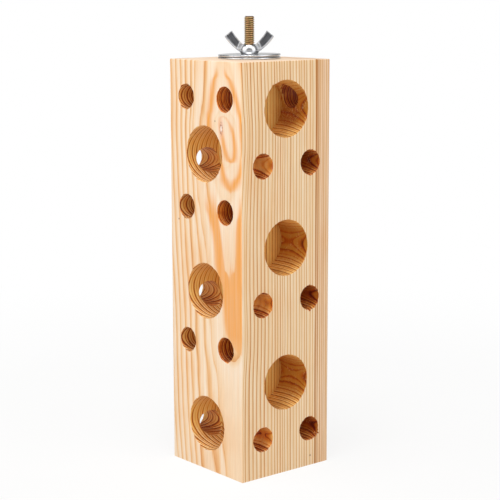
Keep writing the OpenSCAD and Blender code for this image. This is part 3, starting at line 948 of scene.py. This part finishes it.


# the plated finishes: tone, its two cloudy tints, roughness, the scale of the fine scratches, and which
# groove gets painted shade
finishes = {
    "yellowZinc": {"tone": tone(214, 178, 126), "tints": (tone(220, 164, 118), tone(200, 182, 126)),
                   "rough": 0.2, "scratches": (2.2, 2.2, 1.2), "grooveShade": "thread"},
    "brightZinc": {"tone": tone(206, 208, 212), "tints": (tone(196, 200, 208), tone(214, 214, 212)),
                   "rough": 0.16, "scratches": (1.1, 1.1, 2.4), "grooveShade": None},
    "nutZinc": {"tone": tone(204, 205, 208), "tints": (tone(196, 198, 204), tone(212, 211, 208)),
                "rough": 0.12, "scratches": (1.6, 1.6, 1.6), "grooveShade": "knurl"},
}
# painted shade: dark thread roots, partly dirt, and dark hollows between the knurl's pyramids; the panel tint
# is the sunk panels' duller plating
grooveShadeAndPanelTones = {"thread": tone(96, 58, 26), "knurl": tone(86, 88, 94), "panel": tone(212, 213, 216)}
platings = {  # what all three share
    "cloud": (0.5, 0.5, 0.8), "shades": greys((0.3, 0.82), (0.6, 1)), "shading": 0.6,
    "threadShadeShare": 0.75, "panelShare": 0.9, "panelRough": 0.2, "unevenPolish": 0.16,
    "bump": 0.3, "bumpHigh": 0.06,
}


def makeZinc(name):
    # plated steel: a metal with faint cloudy tints, fine tumbling scratches, slightly uneven polish, and
    # painted shade down in a thread's roots and between a knurl's pyramids
    plating, p = finishes[name], platings
    z = Sheet(bpy.data.materials.new(name))
    place = z.inMillimetres()
    cloud = z.noise(z.stretch(place, p["cloud"]), detail=3)
    fleck = z.noise(z.stretch(place, plating["scratches"]), detail=4, roughness=0.65)
    warm, cool = plating["tints"]
    colour = z.ramp(cloud, [(0.32, warm), (0.5, plating["tone"]), (0.68, cool)])
    colour = z.tinted(colour, z.ramp(fleck, p["shades"]), p["shading"])
    dull = z.marked("panel")
    if plating["grooveShade"] == "thread":  # painted shade, partly dirt, dark at the thread roots: how far from the axis
        outward = z.measure("LENGTH", z.stretch(place, (1, 1, 0)))
        deep = z.window(outward, bolt["stud"]["root"], bolt["stud"]["crest"] - 0.1, p["threadShadeShare"], 0)
        colour = z.tinted(colour, grooveShadeAndPanelTones["thread"], deep)
    if plating["grooveShade"] == "knurl":  # painted shade, dark between the pyramids: how far from the middle of the wing
        angle = math.radians(nut["turned"])
        outward = z.measure("DOT_PRODUCT", place, (-math.sin(angle), math.cos(angle), 0))
        low = nut["thick"] / 2 - nut["sunk"]
        deep = z.window(z.maths("ABSOLUTE", outward), low, low + nut["knurlHigh"] * 0.8, 1, 0)
        colour = z.tinted(colour, grooveShadeAndPanelTones["panel"], z.times(dull, p["panelShare"]))
        colour = z.tinted(colour, grooveShadeAndPanelTones["knurl"], z.times(dull, deep))
    z.bump(fleck, p["bump"], p["bumpHigh"] * mm)
    roughness = z.scaled(dull, p["panelRough"], z.scaled(fleck, p["unevenPolish"], plating["rough"]))
    return z.finish(colour, roughness, metallic=1.0)


yellowZinc, brightZinc, nutZinc = (makeZinc(name) for name in finishes)

hangerBolt = makeBolt()
lowerWasher = makeWasher("lowerWasher", *washer["lower"])
upperWasher = makeWasher("upperWasher", *washer["upper"])
wingNut = makeWingNut()
markPanels(wingNut.data)
for piece, body, node, slot, finish in (
        (hangerBolt, "post", "hanger_bolt", "yellow_zinc", yellowZinc),
        (lowerWasher, "lower_washer", "lower_washer", "bright_zinc", brightZinc),
        (upperWasher, "upper_washer", "upper_washer", "bright_zinc", brightZinc),
        (wingNut, "wing_nut", "wing_nut", "nut_zinc", nutZinc)):
    piece.data.materials.append(finish)
    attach(piece, body)
    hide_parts(node)
    print(piece.name, "done:", triangles(piece.data), "triangles")


# floor and light
studio = {
    "floorHalf": 12000,
    # the floor turns plain white between these distances, in metres, and glows this much at the object
    "plainFrom": 0.12, "plainTo": 0.6, "floorGlow": 0.84, "paper": greys((0.3, 0.15), (0.7, 0.16)),
    "towardsCamera": (0.772, -0.636, 0), "towardsLight": (0.7, -0.7, 0.14), "skyTone": (1, 0.993, 0.982, 1),
    # soft light round the object: angle from its middle, as a share of a half turn, and share of softPower
    "softLight": [(0, 1), (0.08, 0.95), (0.16, 0.6), (0.25, 0.28), (0.35, 0.12), (0.5, 0.07), (1, 0.05)],
    "softPower": 2.16,
    # what polished steel mirrors: the same from the camera's side, and share of mirroredPower
    "mirrored": [(0, 0.32), (0.08, 0.24), (0.15, 0.14), (0.22, 0.6), (0.3, 0.95), (0.42, 0.6), (0.52, 0.12),
                 (0.7, 0.1), (1, 0.5)],
    "mirroredPower": 2,
    "aimHeight": 0.13,
    "lights": [  # name, place, size, power, colour
        ("keyLight", (-0.7, -1.25, 0.9), 0.9, 3, (1, 0.98, 0.95)),
        ("sideLight", (1.35, 0.45, 0.8), 0.9, 1, (1, 0.98, 0.95)),
        ("topLight", (0.2, -0.3, 1.6), 0.8, 15, (1, 0.99, 0.97)),
    ],
}
white, black = (1, 1, 1, 1), (0, 0, 0, 1)

floorBm = bmesh.new()
bmesh.ops.create_grid(floorBm, x_segments=1, y_segments=1, size=studio["floorHalf"])
floor = addPiece("floor", floorBm)
f = Sheet(bpy.data.materials.new("paperWhite"))
ground = f.add("ShaderNodeTexCoord").outputs["Object"]
plain = f.window(f.measure("LENGTH", ground), studio["plainFrom"], studio["plainTo"])
paper = f.ramp(f.noise(f.stretch(ground, (6, 6, 6))), studio["paper"])
glow = studio["floorGlow"]
f.plug(white, f.shader.inputs["Emission Color"])
f.plug(f.scaled(plain, 1 - glow, glow), f.shader.inputs["Emission Strength"])
floor.data.materials.append(f.finish(f.blend(plain, paper, black), 0.9, specular=0.0))

# white behind the object, soft light all round, and for the steel's reflections a dim place at the camera
sky = Sheet(bpy.data.worlds.new("studio"), "ShaderNodeBackground", "ShaderNodeOutputWorld")
scene.world = sky.owner
skyward = sky.add("ShaderNodeTexCoord").outputs["Generated"]
seen = []
for towards, brightness, power in (("towardsCamera", "mirrored", "mirroredPower"),
                                   ("towardsLight", "softLight", "softPower")):
    facing = sky.measure("DOT_PRODUCT", skyward, Vector(studio[towards]).normalized())
    angle = sky.over(sky.maths("ARCCOSINE", facing), math.pi)
    seen.append(sky.times(sky.curve(angle, studio[brightness]), studio[power]))
rays = sky.add("ShaderNodeLightPath").outputs
strength = sky.blend(rays["Is Glossy Ray"], seen[1], seen[0])
strength = sky.blend(rays["Is Camera Ray"], strength, white)
sky.plug(sky.blend(rays["Is Camera Ray"], studio["skyTone"], white), sky.shader.inputs["Color"])
sky.plug(strength, sky.shader.inputs["Strength"])

for name, place, size, power, colour in studio["lights"]:
    light = addObject(name, bpy.data.lights.new(name, "AREA"))
    light.data.size, light.data.energy, light.data.color = size, power, colour
    light.location = place
    away = Vector(place) - Vector((0, 0, studio["aimHeight"]))
    light.rotation_euler = away.to_track_quat("Z", "Y").to_euler()
